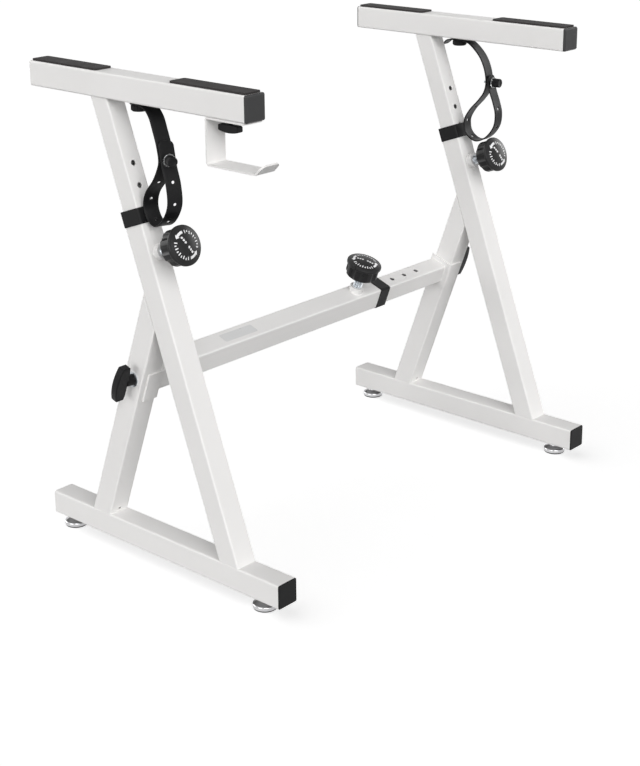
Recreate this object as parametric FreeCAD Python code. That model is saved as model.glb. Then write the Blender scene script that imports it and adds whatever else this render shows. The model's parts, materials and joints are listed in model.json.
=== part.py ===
import FreeCAD, Part
import math
import os
from FreeCAD import Vector

# Keyboard stand with two slanted side frames, adjustable in height and in width.
# Row frame in millimetres: x along the crossbar (left frame at -x), y to the rear (the player
# stands at -y), z up, origin on the floor below the middle.  Left-hand pieces are modelled and
# most right-hand ones are their mirror images.

# ---- driving dimensions ------------------------------------------------------------------
LEAN = math.radians(20.0)          # both legs lean by this from the vertical
FRAME_X = 398.3                    # centre plane of each side frame
OUTER, OUTER_WALL, OUTER_CORNER = 40.0, 2.0, 3.0      # frame tube
INNER, INNER_WALL, INNER_CORNER = 35.0, 1.5, 2.5      # sliding tube

RAIL_BASE = 19.5                   # underside of the base rails
RAIL_END = 264.0                   # half length of a rail over its caps
RAIL_LIP = 2.0                     # thickness of the rail caps' lips
RAIL_TOP = RAIL_BASE + OUTER

MAIN_FOOT_Y, REAR_FOOT_Y = -156.9, 140.5              # where the leg axes meet the rail top
MAIN_LENGTH = 566.7                # main leg, measured along its axis
DRAIN_UP, DRAIN_R = 12.6, 2.5      # small hole low in the rear leg's front wall

MAST_START = 330.0                 # lower end of the mast, along the main leg's axis
LOCK_UP = 496.3                    # lock on the main leg, along its axis
HOLE_PITCH, HOLE_R = 35.3, 4.5     # index holes
MAST_HOLES = range(-4, 5)          # holes counted from the lock
COLLAR_SIDE, COLLAR_BORE = 42.6, 35.2
COLLAR_LENGTH, COLLAR_LIP = 25.3, 3.0

BEAM_BASE = 761.5                  # underside of the top beams
BEAM_FRONT, BEAM_REAR = -213.6, 255.2                 # ends of the beam tube
BEAM_FRONT_LIP, BEAM_REAR_LIP = 4.5, 4.0
PAD_WIDTH, PAD_HEIGHT = 34.0, 3.0
PAD_CORNER = 5.0                   # radius of each pad's corners seen from above
PAD_SPANS = ((-213.0, -58.0), (102.6, 255.0))         # front and rear rubber pad, in y

CROSSBAR_UP, CROSSBAR_BACK = 266.3, 5.4               # from the rear leg's foot and axis
CLAMP_UP = 8.1                     # clamp bolt above the crossbar's axis, along the rear leg
BRACKET_PLATE, BRACKET_HEIGHT, BRACKET_LAP = 3.0, 52.0, 29.0
CROSS_OUTER_END = 199.0            # free end of the outer crossbar tube
CROSS_INNER_START = -48.0          # free end of the inner crossbar tube
CROSS_LOCK_X = 126.6               # lock on the crossbar
CROSS_HOLES = range(-2, 6)

BOSS_R, BOSS_HEIGHT = 13.0, 11.0   # welded lock boss
SLEEVE_R, SLEEVE_TOP = 8.1, 43.0   # threaded sleeve
CHAMBER_LOW, CHAMBER_HIGH = 6.0, 40.0                 # its spring chamber
RUNNING = 0.06                     # radial clearance of running fits
PIN_R, PIN_REACH, STEM_R = 4.0, 8.5, 3.0
KNOB_BACK, KNOB_RIM, KNOB_PEAK = 33.5, 61.8, 67.3     # heights above the tube face
KNOB_PLATE = 5.0                   # thickness of its front plate
KNOB_BODY_R, KNOB_FLANGE_R, KNOB_LOBES = 29.4, 31.8, 8
SPRING_COIL_R, SPRING_WIRE_R, SPRING_TURNS = 5.0, 0.5, 10

CLAMP_R, CLAMP_REACH = 4.0, 86.0   # clamp bolt and how far it runs inward from the leg's face
CLAMP_LENGTH, CLAMP_WIDTH, CLAMP_NUT = 63.0, 13.0, 13.0
FOOT_Y = (-215.4, 232.6)
FOOT_R, STUD_R = 20.0, 5.0
STUD_UP = 26.0                     # top of the studs above the rails' undersides
FOOT_NUT, NUT_HEIGHT = 17.0, 8.0

STRAP_WIDTH, STRAP_THICK = 25.0, 2.5
STRAP_PITCH, STRAP_HOLE_R, STRAP_HOLES = 34.0, 2.4, 6
TAIL_LENGTH = 63.5                 # from the strap's end to its first hole below the stud
STRAP_SCREW_Y = 25.4
SEAT_DROP = 1.5                    # welded seat under the beam that takes the strap screw

HOOK_WIDTH, HOOK_PLATE = 38.0, 3.0
HOOK_REAR, HOOK_FRONT, HOOK_DROP, HOOK_LIP = -133.4, -232.2, 72.0, 14.5
HOOK_SCREW_Y = -166.0


# ---- outlines and solids -----------------------------------------------------------------
def local_frame(origin, z_dir, x_dir=Vector(1, 0, 0)):
    """Matrix that puts local z along z_dir and local x along x_dir, at the origin given."""
    y_dir = z_dir.cross(x_dir)
    return FreeCAD.Matrix(
        x_dir.x, y_dir.x, z_dir.x, origin.x,
        x_dir.y, y_dir.y, z_dir.y, origin.y,
        x_dir.z, y_dir.z, z_dir.z, origin.z,
        0, 0, 0, 1)


def put(shape, frame):
    """The shape, carried from local coordinates to a frame."""
    return shape.transformed(frame, True)


def outline(corners):
    """Closed wire in the local xy plane through (x, y, radius) corners, each rounded."""
    spots = [Vector(x, y, 0) for x, y, _ in corners]
    bends = []
    for i, (_, _, radius) in enumerate(corners):
        to_last = (spots[i - 1] - spots[i]).normalize()
        to_next = (spots[(i + 1) % len(spots)] - spots[i]).normalize()
        if radius == 0:
            bends.append((spots[i], None, spots[i]))
            continue
        half = to_last.getAngle(to_next) / 2
        middle = (to_last + to_next).normalize() * (radius / math.sin(half) - radius)
        reach = radius / math.tan(half)
        bends.append((spots[i] + to_last * reach, spots[i] + middle, spots[i] + to_next * reach))
    edges = []
    for i, (start, middle, end) in enumerate(bends):
        if middle:
            edges.append(Part.Arc(start, middle, end).toShape())
        following = bends[(i + 1) % len(bends)][0]
        if end.distanceToPoint(following) > 1e-6:
            edges.append(Part.makeLine(end, following))
    return Part.Wire(edges)


def prism(corners, low, high):
    """Solid with a rounded outline, from local z low to high."""
    face = Part.Face(outline(corners))
    face.translate(Vector(0, 0, low))
    return face.extrude(Vector(0, 0, high - low))


def rectangle(width, depth, radius):
    """Corners of a centred rectangle."""
    x, y = width / 2, depth / 2
    return [(-x, -y, radius), (x, -y, radius), (x, y, radius), (-x, y, radius)]


def bar(side, radius, low, high):
    """Square bar along local z."""
    return prism(rectangle(side, side, radius), low, high)


def tube(side, wall, radius, low, high):
    """Square tube along local z."""
    return bar(side, radius, low, high).cut(bar(side - 2 * wall, radius - wall, low - 1, high + 1))


def rod(radius, low, high, x=0.0, y=0.0):
    """Round bar along local z."""
    return Part.makeCylinder(radius, high - low, Vector(x, y, low))


def ring(outer, bore, low, high):
    """Round washer or bush along local z."""
    return rod(outer, low, high).cut(rod(bore, low - 1, high + 1))


def turned(*path):
    """Solid of revolution about z through (radius, height) corners.

    A step of four numbers is an arc through its first pair to its second.
    """
    spot = Vector(path[0][0], 0, path[0][1])
    first = spot
    edges = []
    for step in path[1:]:
        end = Vector(step[-2], 0, step[-1])
        if len(step) == 4:
            edges.append(Part.Arc(spot, Vector(step[0], 0, step[1]), end).toShape())
        else:
            edges.append(Part.makeLine(spot, end))
        spot = end
    edges.append(Part.makeLine(spot, first))
    return Part.Face(Part.Wire(edges)).revolve(Vector(0, 0, 0), Vector(0, 0, 1), 360)


def crown(radius, low, high):
    """Turning step for a spherical crown from its rim to its peak on the axis."""
    rise = high - low
    ball = (radius * radius + rise * rise) / (2 * rise)
    half = math.asin(radius / ball) / 2
    return (ball * math.sin(half), high - ball + ball * math.cos(half), 0, high)


def hexagon(flats, bore, low, high):
    """Hexagonal nut along local z, with two flats square to local x."""
    corner = flats / 2 / math.cos(math.pi / 6)
    corners = []
    for side in range(6):
        angle = (side + 0.5) * math.pi / 3
        corners.append((corner * math.cos(angle), corner * math.sin(angle), 0))
    return prism(corners, low, high).cut(rod(bore, low - 1, high + 1))


def scalloped(shape, count, cutter_r, centre_r, low, high):
    """The shape with round grooves cut along its rim."""
    for groove in range(count):
        angle = 2 * math.pi * groove / count
        cutter = rod(cutter_r, low, high, centre_r * math.cos(angle), centre_r * math.sin(angle))
        shape = shape.cut(cutter)
    return shape


def mirrored(shape):
    """The right-hand twin of a left-hand shape."""
    return shape.mirror(Vector(0, 0, 0), Vector(1, 0, 0))


def above(shape, height):
    """The part of a shape above a level."""
    return shape.cut(Part.makeBox(2000, 2000, 1000, Vector(-1000, -1000, height - 1000)))


def below(shape, height):
    """The part of a shape below a level."""
    return shape.cut(Part.makeBox(2000, 2000, 1000, Vector(-1000, -1000, height)))


# ---- frames of the tubes -----------------------------------------------------------------
X, Y, Z = Vector(1, 0, 0), Vector(0, 1, 0), Vector(0, 0, 1)
MAIN_DIR = Vector(0, math.sin(LEAN), math.cos(LEAN))
MAIN_FRONT = Vector(0, -math.cos(LEAN), math.sin(LEAN))
REAR_DIR = Vector(0, -math.sin(LEAN), math.cos(LEAN))
REAR_BACK = Vector(0, math.cos(LEAN), math.sin(LEAN))

MAIN_FOOT = Vector(-FRAME_X, MAIN_FOOT_Y, RAIL_TOP)
REAR_FOOT = Vector(-FRAME_X, REAR_FOOT_Y, RAIL_TOP)
CROSS_CENTRE = REAR_FOOT + REAR_DIR * CROSSBAR_UP + REAR_BACK * CROSSBAR_BACK + X * FRAME_X
CLAMP_SPOT = REAR_FOOT + REAR_DIR * (CROSSBAR_UP + CLAMP_UP)
CROSS_START = FRAME_X - OUTER / 2 - BRACKET_PLATE     # crossbar ends against the brackets

MAIN = local_frame(MAIN_FOOT, MAIN_DIR)
REAR = local_frame(REAR_FOOT, REAR_DIR)
RAIL = local_frame(Vector(-FRAME_X, 0, RAIL_BASE + OUTER / 2), Y)
BEAM = local_frame(Vector(-FRAME_X, 0, BEAM_BASE + OUTER / 2), Y)
CROSS = local_frame(CROSS_CENTRE, X, REAR_BACK)       # local y is the crossbar's top
MAIN_LOCK = local_frame(MAIN_FOOT + MAIN_DIR * LOCK_UP + MAIN_FRONT * (OUTER / 2), MAIN_FRONT)
CROSS_LOCK = local_frame(CROSS_CENTRE + X * CROSS_LOCK_X + REAR_DIR * (OUTER / 2), REAR_DIR)
CLAMP = local_frame(CLAMP_SPOT - X * (OUTER / 2), -X, REAR_DIR)
HOOK_SCREW = local_frame(Vector(-FRAME_X, HOOK_SCREW_Y, BEAM_BASE - HOOK_PLATE), -Z, Y)


# ---- side frame --------------------------------------------------------------------------
def base_rail():
    """Floor rail with a clearance hole over each foot."""
    rail = put(tube(OUTER, OUTER_WALL, OUTER_CORNER, RAIL_LIP - RAIL_END, RAIL_END - RAIL_LIP), RAIL)
    for y in FOOT_Y:
        rail = rail.cut(rod(STUD_R + 0.5, RAIL_BASE - 1, RAIL_BASE + 3, -FRAME_X, y))
    return rail


def lock_boss(leg, frame):
    """The tube with a threaded boss for a lock, bored through the tube's wall for the pin."""
    leg = leg.fuse(put(rod(BOSS_R, -0.5, BOSS_HEIGHT), frame))
    leg = leg.cut(put(rod(SLEEVE_R + RUNNING, 0, BOSS_HEIGHT + 1), frame))
    return leg.cut(put(rod(HOLE_R, -OUTER_WALL - 1, 1), frame))


def main_leg():
    """Long slanted leg, square at its top, that guides the mast."""
    leg = put(tube(OUTER, OUTER_WALL, OUTER_CORNER, -OUTER, MAIN_LENGTH), MAIN)
    return lock_boss(above(leg, RAIL_TOP), MAIN_LOCK)


def rear_leg():
    """Leg that leans forward and ends against the main leg's rear face."""
    leg = put(tube(OUTER, OUTER_WALL, OUTER_CORNER, -OUTER, 520), REAR)
    ahead = put(Part.makeBox(200, 400, 900, Vector(-100, OUTER / 2 - 400, -100)), MAIN)
    leg = above(leg, RAIL_TOP).cut(ahead)
    leg = leg.cut(put(rod(CLAMP_R + 0.4, -OUTER - 1, 1), CLAMP))
    drain = Part.makeCylinder(DRAIN_R, 4, Vector(0, -OUTER / 2 - 1, DRAIN_UP), Y)
    return leg.cut(put(drain, REAR))


def bracket():
    """Bent plate on the rear leg's inner and front faces, to which the crossbar is welded."""
    inner, front = OUTER / 2, -OUTER / 2
    back = CROSSBAR_BACK + OUTER / 2
    corners = [
        (inner, back, 0), (inner, front, 1), (inner - BRACKET_LAP, front, 0),
        (inner - BRACKET_LAP, front - BRACKET_PLATE, 1),
        (inner + BRACKET_PLATE, front - BRACKET_PLATE, 4), (inner + BRACKET_PLATE, back, 0)]
    low = CROSSBAR_UP - BRACKET_HEIGHT / 2
    plate = put(prism(corners, low, low + BRACKET_HEIGHT), REAR)
    return plate.cut(put(rod(CLAMP_R + 0.4, -OUTER - BRACKET_PLATE - 1, 1), CLAMP))


def weld_nuts():
    """Flanged inserts for the two feet and the nut behind the bracket."""
    inserts = []
    floor = RAIL_BASE + OUTER_WALL
    for y in FOOT_Y:
        insert = hexagon(FOOT_NUT, STUD_R + RUNNING, floor + 2, floor + 2 + NUT_HEIGHT)
        insert = insert.fuse(ring(9.0, STUD_R + RUNNING, floor, floor + 2))
        inserts.append(insert.translated(Vector(-FRAME_X, y, 0)))
    seat = -OUTER - BRACKET_PLATE
    nut = put(hexagon(CLAMP_NUT, CLAMP_R + RUNNING, seat - NUT_HEIGHT, seat), CLAMP)
    return Part.Compound(inserts + [nut])


def end_cap(lip, bevel):
    """Pressed-in tube cap: a bevelled plate from local z 0 outward and a hollow plug inside."""
    plug_side = OUTER - 2 * OUTER_WALL - 0.2
    plate = bar(OUTER, OUTER_CORNER, 0, lip)
    rim = [edge for edge in plate.Edges if edge.BoundBox.ZMin > lip - 1e-6]
    plate = plate.makeChamfer(bevel, rim)
    return plate.fuse(tube(plug_side, 2.0, 2.2, -14, 0.0))


def rail_cap(end):
    """Rail cap at the front (-1) or rear (+1) end."""
    place = local_frame(Vector(-FRAME_X, end * (RAIL_END - RAIL_LIP), RAIL_BASE + OUTER / 2), Y * end)
    return put(end_cap(RAIL_LIP, 1.2), place)


def collar(top, frame):
    """Plastic guide collar over a frame tube's open end, with a lip round the sliding tube."""
    low, high = top + COLLAR_LIP - COLLAR_LENGTH, top + COLLAR_LIP
    shell = bar(COLLAR_SIDE, 4.0, low, high)
    shell = shell.cut(bar(OUTER, OUTER_CORNER, low - 1, top))
    return put(shell.cut(bar(COLLAR_BORE, INNER_CORNER + 0.1, low, high + 1)), frame)


# ---- crossbar ----------------------------------------------------------------------------
def crossbar_outer():
    """Outer crossbar tube, welded to the left bracket, with the boss of its lock."""
    shell = put(tube(OUTER, OUTER_WALL, OUTER_CORNER, -CROSS_START, CROSS_OUTER_END), CROSS)
    return lock_boss(shell, CROSS_LOCK)


def crossbar_inner():
    """Inner crossbar tube, welded to the right bracket, with index holes in its top."""
    shell = put(tube(INNER, INNER_WALL, INNER_CORNER, CROSS_INNER_START, CROSS_START), CROSS)
    for hole in CROSS_HOLES:
        drill = put(rod(HOLE_R, -10, 0), CROSS_LOCK)
        shell = shell.cut(drill.translated(X * hole * HOLE_PITCH))
    return shell


# ---- mast and beam -----------------------------------------------------------------------
def mast_tube():
    """Sliding tube with index holes in its front wall, cut level below the beam."""
    mast = below(put(tube(INNER, INNER_WALL, INNER_CORNER, MAST_START, 800), MAIN), BEAM_BASE)
    for hole in MAST_HOLES:
        drill = put(rod(HOLE_R, -10, 0), MAIN_LOCK)
        mast = mast.cut(drill.translated(MAIN_DIR * hole * HOLE_PITCH))
    return mast


def beam():
    """Top beam with the welded seat of the strap screw."""
    shell = put(tube(OUTER, OUTER_WALL, OUTER_CORNER, BEAM_FRONT, BEAM_REAR), BEAM)
    shell = shell.fuse(rod(8, BEAM_BASE - SEAT_DROP, BEAM_BASE + 1, -FRAME_X, STRAP_SCREW_Y))
    bore = rod(2.5 + RUNNING, BEAM_BASE - 10, BEAM_BASE + 4, -FRAME_X, STRAP_SCREW_Y)
    return shell.cut(bore)


def hook_beam():
    """Left beam, with the threaded insert of the hook screw as well."""
    insert = hexagon(10, 1, BEAM_BASE + 1, BEAM_BASE + 7)
    insert = insert.translated(Vector(-FRAME_X, HOOK_SCREW_Y, 0))
    bore = rod(3 + RUNNING, BEAM_BASE - 1, BEAM_BASE + 8, -FRAME_X, HOOK_SCREW_Y)
    return beam().fuse(insert).cut(bore)


def beam_cap(y, lip, outward):
    """Beam cap whose plate starts at y and faces outward."""
    place = local_frame(Vector(-FRAME_X, y, BEAM_BASE + OUTER / 2), Y * outward)
    return put(end_cap(lip, min(lip - 1, 2.5)), place)


def beam_pad(low, high):
    """One rubber strip, rounded at its upper edges and at its four corners."""
    side, top = PAD_WIDTH / 2, -OUTER / 2
    section = [
        (-side, top, 0), (side, top, 0),
        (side, top - PAD_HEIGHT, 1.2), (-side, top - PAD_HEIGHT, 1.2)]
    plan = Part.makeBox(PAD_WIDTH, 10, high - low, Vector(-side, top - 5, low))
    plan = plan.makeFillet(PAD_CORNER, [edge for edge in plan.Edges if abs(edge.tangentAt(0).y) > 0.9])
    return put(prism(section, low, high).common(plan), BEAM)


def beam_pads():
    """Rubber strips on the beam, front and rear."""
    return Part.Compound([beam_pad(low, high) for low, high in PAD_SPANS])


def hook():
    """Headphone hook bent from one strip: top plate, drop, shelf and raised lip."""
    top, shelf = BEAM_BASE, BEAM_BASE - HOOK_DROP
    lip_y, lip_z = HOOK_FRONT - HOOK_LIP, shelf + HOOK_LIP
    slant = HOOK_PLATE * math.sqrt(0.5)
    bend = HOOK_PLATE * math.tan(math.radians(22.5))
    corners = [
        (-211.0, top, 0), (HOOK_REAR, top, 4), (HOOK_REAR, shelf, 6), (HOOK_FRONT, shelf, 6),
        (lip_y, lip_z, 0), (lip_y + slant, lip_z + slant, 0),
        (HOOK_FRONT + bend, shelf + HOOK_PLATE, 3), (HOOK_REAR - HOOK_PLATE, shelf + HOOK_PLATE, 3),
        (HOOK_REAR - HOOK_PLATE, top - HOOK_PLATE, 1), (-211.0, top - HOOK_PLATE, 0)]
    strip = prism(corners, -HOOK_WIDTH / 2, HOOK_WIDTH / 2)
    strip = put(strip, local_frame(Vector(-FRAME_X, 0, 0), X, Y))
    ahead = Part.makeBox(100, 100, 100, Vector(-FRAME_X - 50, HOOK_FRONT - 108, shelf))
    rise = Vector(0, -math.sqrt(0.5), math.sqrt(0.5))
    tip = Vector(-FRAME_X, lip_y, lip_z)
    blank = prism(rectangle(HOOK_WIDTH, 400, 9), -8, 8)
    blank = put(blank, local_frame(tip - rise * 200, Vector(0, -rise.y, rise.z)))
    lip = strip.common(ahead).common(blank)
    strip = strip.cut(ahead).fuse(lip).removeSplitter()
    return strip.cut(rod(3.3, top - 5, top + 1, -FRAME_X, HOOK_SCREW_Y))


# ---- locks, clamps and feet --------------------------------------------------------------
def lock_sleeve():
    """Threaded sleeve: guides the pin at its foot and holds the spring in its chamber."""
    chamber = 6.6
    return turned(
        (PIN_R + RUNNING, 0.3), (SLEEVE_R - 1, 0.3), (SLEEVE_R, 1.3), (SLEEVE_R, SLEEVE_TOP - 1),
        (SLEEVE_R - 1, SLEEVE_TOP), (STEM_R + RUNNING, SLEEVE_TOP), (STEM_R + RUNNING, CHAMBER_HIGH),
        (chamber, CHAMBER_HIGH), (chamber, CHAMBER_LOW), (PIN_R + RUNNING, CHAMBER_LOW))


def lock_pin():
    """Index pin with its collar and the stem that the knob is fixed to."""
    collar_low, collar_high = CHAMBER_LOW + 0.3, CHAMBER_LOW + 2.3
    tip, end = -PIN_REACH, KNOB_RIM - 1
    return turned(
        (0, tip), (PIN_R - 1.4, tip), (PIN_R, tip + 1.4), (PIN_R, collar_low), (6.2, collar_low),
        (6.2, collar_high), (STEM_R, collar_high), (STEM_R, end), (0, end))


def lock_knob():
    """Fluted pull knob with a round front plate and a shallow crown."""
    bore, well = SLEEVE_R + 0.4, KNOB_RIM - 8
    plate_low = KNOB_RIM - KNOB_PLATE
    body = turned(
        (bore, KNOB_BACK), (23.0, KNOB_BACK), (27.9, KNOB_BACK + 2, KNOB_BODY_R, KNOB_BACK + 7),
        (KNOB_BODY_R, plate_low + 0.5), (STEM_R, plate_low + 0.5), (STEM_R, well), (bore, well))
    body = scalloped(body, KNOB_LOBES, 8.5, KNOB_BODY_R + 5.5, KNOB_BACK - 1, plate_low)
    plate = turned(
        (STEM_R, plate_low), (KNOB_FLANGE_R - 1, plate_low), (KNOB_FLANGE_R, plate_low + 1),
        (KNOB_FLANGE_R, KNOB_RIM - 1), (KNOB_FLANGE_R - 2.5, KNOB_RIM),
        crown(KNOB_FLANGE_R - 2.5, KNOB_RIM, KNOB_PEAK), (0, KNOB_RIM - 1), (STEM_R, KNOB_RIM - 1))
    return body.fuse(plate)


def lock_spring():
    """Return spring round the stem, between the pin's collar and the chamber's end."""
    low = CHAMBER_LOW + 2.3 + 2 * SPRING_WIRE_R
    high = CHAMBER_HIGH - 2 * SPRING_WIRE_R
    path = Part.makeHelix((high - low) / SPRING_TURNS, high - low, SPRING_COIL_R)
    path.translate(Vector(0, 0, low))
    wire = Part.Wire(Part.makeCircle(SPRING_WIRE_R, Vector(SPRING_COIL_R, 0, low), Y))
    return Part.Wire(path.Edges).makePipeShell([wire], True, True)


def t_handle(length, width, low, ends, middle, neck_r, neck_base, bore):
    """T handle: a crowned block from local z low upward on a round neck, bored for its bolt."""
    half = length / 2
    rise = middle - ends
    radius = (half * half + rise * rise) / (2 * rise)
    side = half * 0.72
    inner = [Vector(-half, 0, low + 2), Vector(-side, 0, low), Vector(side, 0, low),
             Vector(half, 0, low + 2), Vector(half, 0, ends)]
    edges = [Part.makeLine(a, b) for a, b in zip(inner, inner[1:])]
    crown = Part.Arc(Vector(half, 0, ends), Vector(0, 0, middle), Vector(-half, 0, ends))
    edges += [crown.toShape(), Part.makeLine(Vector(-half, 0, ends), inner[0])]
    block = Part.Face(Part.Wire(edges)).extrude(Y * width)
    block.translate(Y * (-width / 2))
    block = block.makeFillet(min(2.0, radius), block.Edges)
    neck = turned((0, neck_base), (neck_r, neck_base), (neck_r - 1.5, low + 1), (0, low + 1))
    return block.fuse(neck).cut(rod(bore, neck_base - 1, low + 12))


def clamp_handle():
    """T handle of the crossbar clamp."""
    return put(t_handle(CLAMP_LENGTH, CLAMP_WIDTH, 15, 32, 38, 9.5, 2.1, CLAMP_R), CLAMP)


def clamp_bolt():
    """Long clamp bolt with its washer, through the leg and the bracket into the weld nut."""
    shank = turned((0, -CLAMP_REACH), (CLAMP_R - 1, -CLAMP_REACH), (CLAMP_R, 1 - CLAMP_REACH),
                   (CLAMP_R, 27), (0, 27))
    return put(Part.Compound([shank, ring(12.5, CLAMP_R, 0.1, 2.1)]), CLAMP)


def foot_pad(y):
    """Levelling foot: rubber sole, upright rim, sloping top and a neck under the rail."""
    top = RAIL_BASE - 0.3
    pad = turned(
        (0, 0), (FOOT_R - 1.6, 0), (FOOT_R - 0.8, 0.8), (FOOT_R - 0.8, 2.4), (FOOT_R, 3.2),
        (FOOT_R, 6.5), (FOOT_R - 0.6, 8.6, FOOT_R - 2.6, 9.6), (11.5, 11.8), (9.0, 12.8),
        (9.0, top), (STUD_R + RUNNING, top), (STUD_R + RUNNING, 4.0), (0, 4.0))
    return pad.translated(Vector(-FRAME_X, y, 0))


def foot_stud(y):
    """Threaded stud between the disc and the insert in the rail."""
    top = RAIL_BASE + STUD_UP
    stud = turned((0, 4.3), (STUD_R, 4.3), (STUD_R, top - 1), (STUD_R - 1, top), (0, top))
    return stud.translated(Vector(-FRAME_X, y, 0))


def hook_screw():
    """T screw that clamps the hook's plate to the beam."""
    handle = t_handle(40, 12, 6, 16, 19, 6.5, 0.1, 3.0)
    return put(handle.fuse(rod(3.0, -12, 18)), HOOK_SCREW)


# ---- straps ------------------------------------------------------------------------------
# Each route runs in the yz plane, z measured from the beam's underside, from the tail behind the
# clamping screw, round the loop and back up to the closing stud.
LEFT_ROUTE = [
    (36.0, -3.1), (25.4, -3.1), (13.0, -3.3), (0.0, -6.8), (-10.5, -18.5), (-18.0, -38.0),
    (-25.2, -61.0), (-28.3, -84.2), (-23.2, -98.7), (-13.5, -115.5), (4.0, -137.1), (9.2, -155.0),
    (6.6, -168.5), (-0.5, -179.5), (-11.5, -185.8), (-24.0, -181.0), (-37.1, -165.8),
    (-44.5, -147.5), (-42.5, -117.0), (-35.6, -92.0), (-31.9, -72.0), (-28.6, -52.0)]
RIGHT_ROUTE = [
    (57.7, -14.0), (49.0, -6.2), (38.5, -3.3), (25.4, -3.1), (12.0, -3.2), (-1.5, -6.3),
    (-16.0, -16.5), (-30.0, -31.5), (-40.2, -53.0), (-43.6, -75.6), (-39.6, -92.7),
    (-27.6, -109.1), (-7.6, -130.3), (3.5, -148.8), (4.3, -160.3), (1.7, -171.3), (-6.6, -180.7),
    (-20.6, -186.4), (-34.3, -183.5), (-50.0, -172.8), (-63.6, -153.1), (-66.0, -130.4),
    (-60.5, -110.6), (-53.0, -92.0), (-48.8, -77.0), (-47.2, -62.0)]
LEFT_YAW, RIGHT_YAW = math.radians(20.0), math.radians(-5.0)
LEFT_STUD = Vector(-FRAME_X, -33.2, BEAM_BASE - 81.0)
RIGHT_STUD = Vector(FRAME_X, -48.4, BEAM_BASE - 75.4)
STUD_TAILS = (30.0, 15.0)          # how far each stud reaches behind the strap's crossing


def stud_frame(spot, yaw):
    """Frame of a closing stud, whose local z points to the front."""
    return local_frame(spot, Vector(-math.sin(yaw), -math.cos(yaw), 0), Z)


def centre_line(route):
    """Smooth curve along a strap's route."""
    line = Part.BSplineCurve()
    line.interpolate([Vector(0, y, BEAM_BASE + z) for y, z in route])
    return line


def strap(route, x, yaw, spot):
    """Flat strap of constant thickness along a route, pierced by its screw and its stud."""
    line = centre_line(route)
    steps = 90
    sides = [[], []]
    for step in range(steps + 1):
        at = line.FirstParameter + (line.LastParameter - line.FirstParameter) * step / steps
        normal = line.tangent(at)[0].cross(X)
        for side, sign in zip(sides, (-1, 1)):
            side.append(line.value(at) + normal * (sign * STRAP_THICK / 2))
    faces = []
    for side in sides:
        curve = Part.BSplineCurve()
        curve.interpolate(side)
        faces.append(curve.toShape())
    start = Part.makeLine(sides[1][0], sides[0][0])
    end = Part.makeLine(sides[0][-1], sides[1][-1])
    width = Vector(math.cos(yaw), -math.sin(yaw), 0)
    flat = Part.Face(Part.Wire([start, faces[0], end, faces[1]]))
    flat.translate(Vector(x, 0, 0) - width * (STRAP_WIDTH / 2))
    band = flat.extrude(width * STRAP_WIDTH)
    band = band.cut(rod(2.9, BEAM_BASE - 15, BEAM_BASE - 0.5, x, STRAP_SCREW_Y))
    return band.cut(put(rod(STRAP_HOLE_R, -8, 8), stud_frame(spot, yaw)))


def punched(band, route, x, yaw):
    """The strap with a row of round holes counted back from its stud, each square to its surface."""
    line = centre_line(route)
    edge = line.toShape()
    behind = line.length(line.FirstParameter, line.LastParameter) - TAIL_LENGTH
    for hole in range(STRAP_HOLES):
        at = edge.getParameterByLength(behind - hole * STRAP_PITCH)
        normal = line.tangent(at)[0].cross(Vector(math.cos(yaw), -math.sin(yaw), 0)).normalize()
        spot = line.value(at) + Vector(x, 0, 0)
        band = band.cut(Part.makeCylinder(STRAP_HOLE_R, 4, spot - normal * 2, normal))
    return band


def strap_screw(x):
    """Knurled screw that clamps the strap's start to its seat under the beam."""
    top = BEAM_BASE - 4.9
    head = turned((0, top - 9), (11, top - 9), (13, top - 7), (13, top - 1), (12, top), (0, top))
    head = scalloped(head, 18, 1.6, 13.6, top - 12, top + 1)
    return head.fuse(rod(2.5, top - 2, BEAM_BASE + 3.5)).translated(Vector(x, STRAP_SCREW_Y, 0))


def strap_stud(spot, yaw, tail):
    """Closing stud with its clear washer, through both layers of the strap."""
    shank = rod(2.0, -tail, 8)
    washer = ring(10, 2.0, 4.2, 5.4)
    head = turned((0, 5.5), (7, 5.5), (8, 6.5), (8, 17.5), (7, 19), (0, 19))
    return put(Part.Compound([shank.fuse(head), washer]), stud_frame(spot, yaw))


# ---- assembly ----------------------------------------------------------------------------
def symmetric_nodes():
    """Left-hand pieces whose mirror images are the right-hand ones."""
    nodes = {
        "base_rail": base_rail(),
        "main_leg": main_leg(),
        "rear_leg": rear_leg(),
        "rail_front_cap": rail_cap(-1),
        "rail_rear_cap": rail_cap(1),
        "mast_collar": collar(MAIN_LENGTH, MAIN),
        "bracket": bracket(),
        "weld_nuts": weld_nuts(),
        "mast_tube": mast_tube(),
        "beam_pads": beam_pads(),
        "clamp_handle": clamp_handle(),
        "clamp_bolt": clamp_bolt(),
    }
    for name, y in zip(("front", "rear"), FOOT_Y):
        nodes[name + "_foot_pad"] = foot_pad(y)
        nodes[name + "_foot_stud"] = foot_stud(y)
    return nodes


def lock_nodes(name, frame):
    """The four pieces of one lock."""
    return {
        name + "_sleeve": put(lock_sleeve(), frame),
        name + "_pin": put(lock_pin(), frame),
        name + "_knob": put(lock_knob(), frame),
        name + "_spring": put(lock_spring(), frame),
    }


def strap_nodes(side, route, x, yaw, spot, tail):
    """One strap with its screw and stud."""
    band = strap(route, x, yaw, spot)
    return {
        side + "_strap": punched(band, route, x, yaw),
        side + "_strap_screw": strap_screw(x),
        side + "_strap_stud": strap_stud(spot, yaw, tail),
    }


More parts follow.
